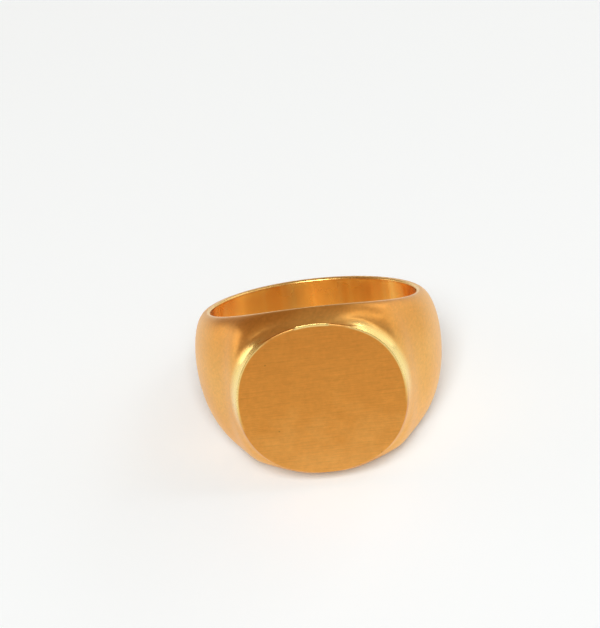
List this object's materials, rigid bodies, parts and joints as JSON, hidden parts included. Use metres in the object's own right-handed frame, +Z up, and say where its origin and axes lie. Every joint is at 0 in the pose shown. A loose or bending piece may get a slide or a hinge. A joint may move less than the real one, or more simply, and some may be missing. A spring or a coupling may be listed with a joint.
{
  "type": "signet ring",
  "caption": "Plain gold signet ring: a tapered, domed shank that swells into a head, with a flat, brushed, cushion-oval signet plate soldered on it.",
  "frame": {"origin": "centre of the finger opening: on the opening's axis, halfway along the finger", "axes": "the ring as it lies on a table, leaned back on its rim: +Z up, +X across the finger to the viewer's right as the face is looked at, -Y the way the face looks along the table. The finger opening's axis lies in the YZ plane and leans 16.4 degrees from +Z towards +Y, so the face looks along -Y and 16.4 degrees upwards"},
  "size_m": [0.0228, 0.0239, 0.0159],
  "materials": {
    "satin_gold": "yellow gold, satin outside, polished on the inside and in the hollow round the head",
    "brushed_gold": "yellow gold, finely brushed in straight lines across the finger"
  },
  "bodies": {
    "root": {"shank": "satin_gold", "signet_plate": "brushed_gold"}
  },
  "joints": []
}
